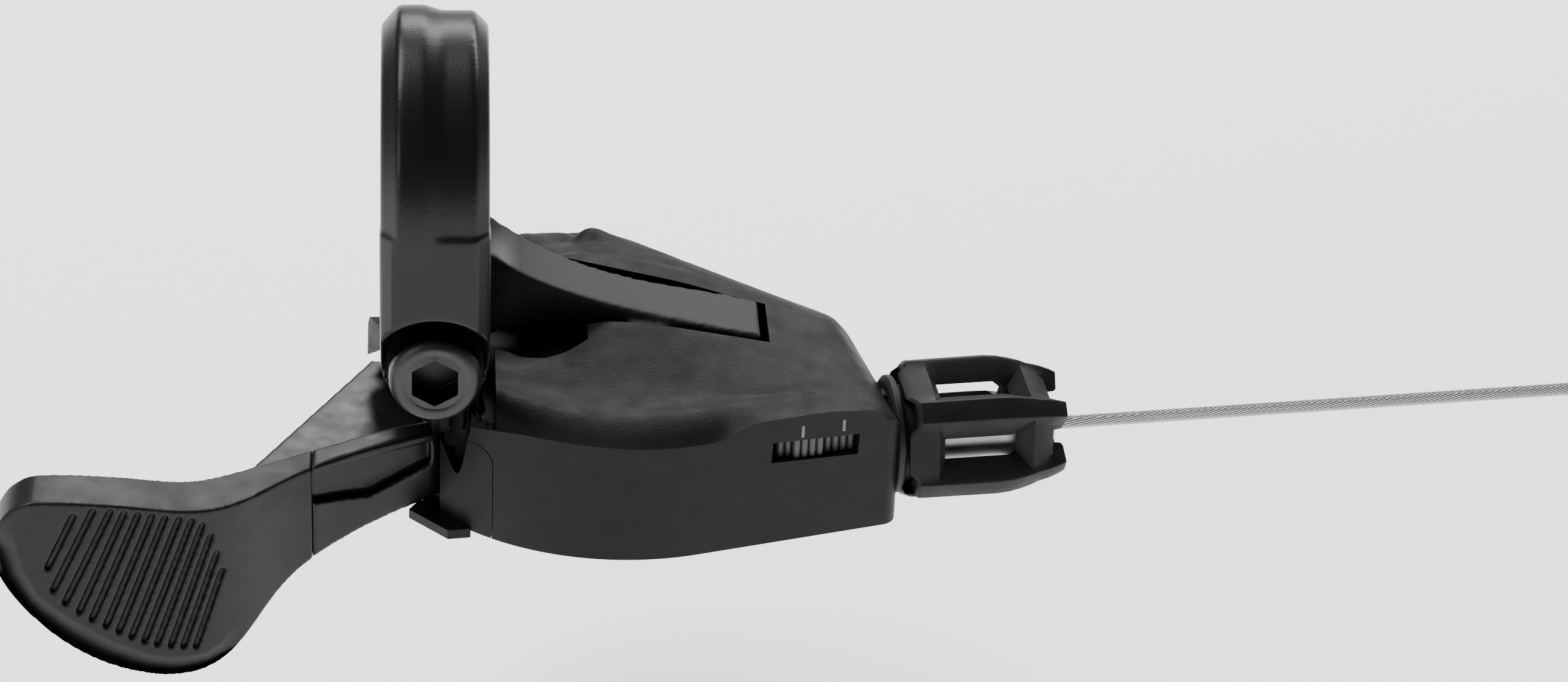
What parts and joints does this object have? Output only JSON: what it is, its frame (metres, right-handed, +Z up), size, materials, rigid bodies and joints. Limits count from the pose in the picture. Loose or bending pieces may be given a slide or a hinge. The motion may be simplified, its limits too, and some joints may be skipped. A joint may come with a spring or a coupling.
{
  "type": "trigger gear shifter",
  "caption": "Left-hand bicycle trigger shifter: split clamp ring on an arm, moulded housing, one thumb lever, ratchet drum, barrel adjuster and shift cable.",
  "frame": {"origin": "centre of the handlebar clamp's bore", "axes": "+X along the handlebar towards the cable's exit, +Y away from the rider, +Z up"},
  "size_m": [0.1964, 0.049, 0.0751],
  "materials": {
    "bracket_aluminium": "satin black anodised",
    "black_bolt_steel": "black oxide with worn edges",
    "cover_resin": "fine matte texture",
    "lever_resin": "satin",
    "pad_rubber": "satin, ribbed",
    "marker_resin": "satin grey",
    "drum_resin": "satin",
    "plate_steel": "stamped",
    "ratchet_steel": "dark stamped",
    "screw_steel": "dark zinc",
    "head_metal": "die cast",
    "spring_steel": "drawn wire",
    "sleeve_resin": "soft matte",
    "barrel_aluminium": "bright turned",
    "seal_rubber": "matte",
    "cable_steel": "stranded stainless"
  },
  "bodies": {
    "shifter": {"clamp_bracket": "bracket_aluminium", "clamp_bolt": "black_bolt_steel", "upper_cover": "cover_resin", "side_panel": "cover_resin", "lower_cover": "cover_resin", "base_plate": "plate_steel", "cover_screws": "screw_steel", "main_axle": "plate_steel", "axle_washer": "plate_steel", "bracket_screw": "screw_steel", "middle_plate": "plate_steel", "plate_post": "plate_steel", "indicator_plate": "marker_resin", "holding_pawl_pin": "plate_steel", "drum_return_spring": "spring_steel", "lever_return_spring": "spring_steel", "neck_seal": "seal_rubber"},
    "lever": {"lever_plate": "plate_steel", "lever_arm": "lever_resin", "lever_pad": "pad_rubber", "drive_pawl_pin": "plate_steel"},
    "drive_pawl_body": {"drive_pawl": "plate_steel"},
    "holding_pawl_body": {"holding_pawl": "plate_steel"},
    "drum": {"ratchet_plate": "ratchet_steel", "winding_drum": "drum_resin", "cable_head": "head_metal", "cable_wrap": "cable_steel"},
    "cable": {"inner_cable": "cable_steel", "free_cable": "cable_steel", "cable_coil": "cable_steel"},
    "sleeve": {"barrel_sleeve": "sleeve_resin"},
    "barrel": {"barrel_bolt": "barrel_aluminium"}
  },
  "joints": [
    {"name": "lever_swing", "type": "hinge", "parent": "shifter", "child": "lever", "pos_m": [0.0205, 0.0036, -0.028], "axis": [0, 0, -1], "range_deg": [0, 34], "stiffness_Nm_per_rad": 0.05, "springref_deg": -34.38},
    {"name": "drum_turn", "type": "hinge", "parent": "shifter", "child": "drum", "pos_m": [0.0205, 0.0036, -0.0255], "axis": [0, 0, -1], "range_deg": [0, 48.1]},
    {"name": "cable_pull", "type": "slide", "parent": "shifter", "child": "cable", "axis": [-0.9921, -0.1253, 0], "range_m": [0, 0.00927]},
    {"name": "drive_pawl_swing", "type": "hinge", "parent": "lever", "child": "drive_pawl_body", "pos_m": [0.00319, 0.00178, -0.0237], "axis": [0, 0, -1], "range_deg": [0, 4], "stiffness_Nm_per_rad": 0.002, "springref_deg": -11.46},
    {"name": "holding_pawl_swing", "type": "hinge", "parent": "shifter", "child": "holding_pawl_body", "pos_m": [0.01472, 0.01948, -0.0237], "axis": [0, 0, 1], "range_deg": [0, 8], "stiffness_Nm_per_rad": 0.002, "springref_deg": -11.46},
    {"name": "sleeve_turn", "type": "hinge", "parent": "shifter", "child": "sleeve", "pos_m": [0.05008, -0.00382, -0.0255], "axis": [0.9921, 0.1253, 0], "range_deg": [0, 1080]},
    {"name": "barrel_advance", "type": "slide", "parent": "sleeve", "child": "barrel", "axis": [0.9921, 0.1253, 0], "range_m": [0, 0.0024]}
  ],
  "couplings": [
    {"joint": "drum_turn", "follows": "cable_pull", "rad_per_m": 90.334},
    {"joint": "sleeve_turn", "follows": "barrel_advance", "rad_per_m": 7854}
  ]
}
